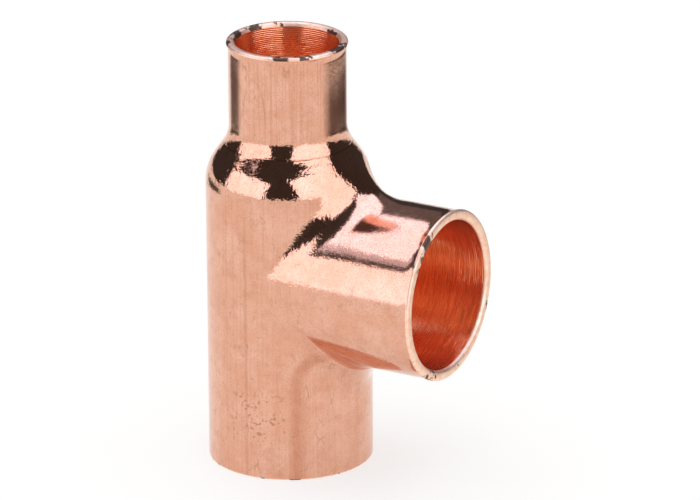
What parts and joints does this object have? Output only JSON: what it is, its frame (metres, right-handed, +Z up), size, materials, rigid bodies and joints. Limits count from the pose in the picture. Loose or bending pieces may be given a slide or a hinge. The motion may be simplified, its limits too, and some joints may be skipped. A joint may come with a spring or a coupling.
{
  "type": "tee fitting",
  "caption": "Reducing copper tee that joins a smaller tube and a side branch to a larger run by capillary soldering.",
  "frame": {"origin": "centre of the mouth of the large socket at the foot of the run", "axes": "+Z up the run to the reduced socket, +X out along the branch, +Y across the plane of symmetry"},
  "size_m": [0.0389, 0.0252, 0.0638],
  "materials": {
    "copper": "bright formed copper, with fine machining lines in the sockets"
  },
  "bodies": {
    "root": {"run_socket": "copper", "tee_body": "copper", "branch_socket": "copper", "reducer_shoulder": "copper", "reduced_socket": "copper"}
  },
  "joints": []
}
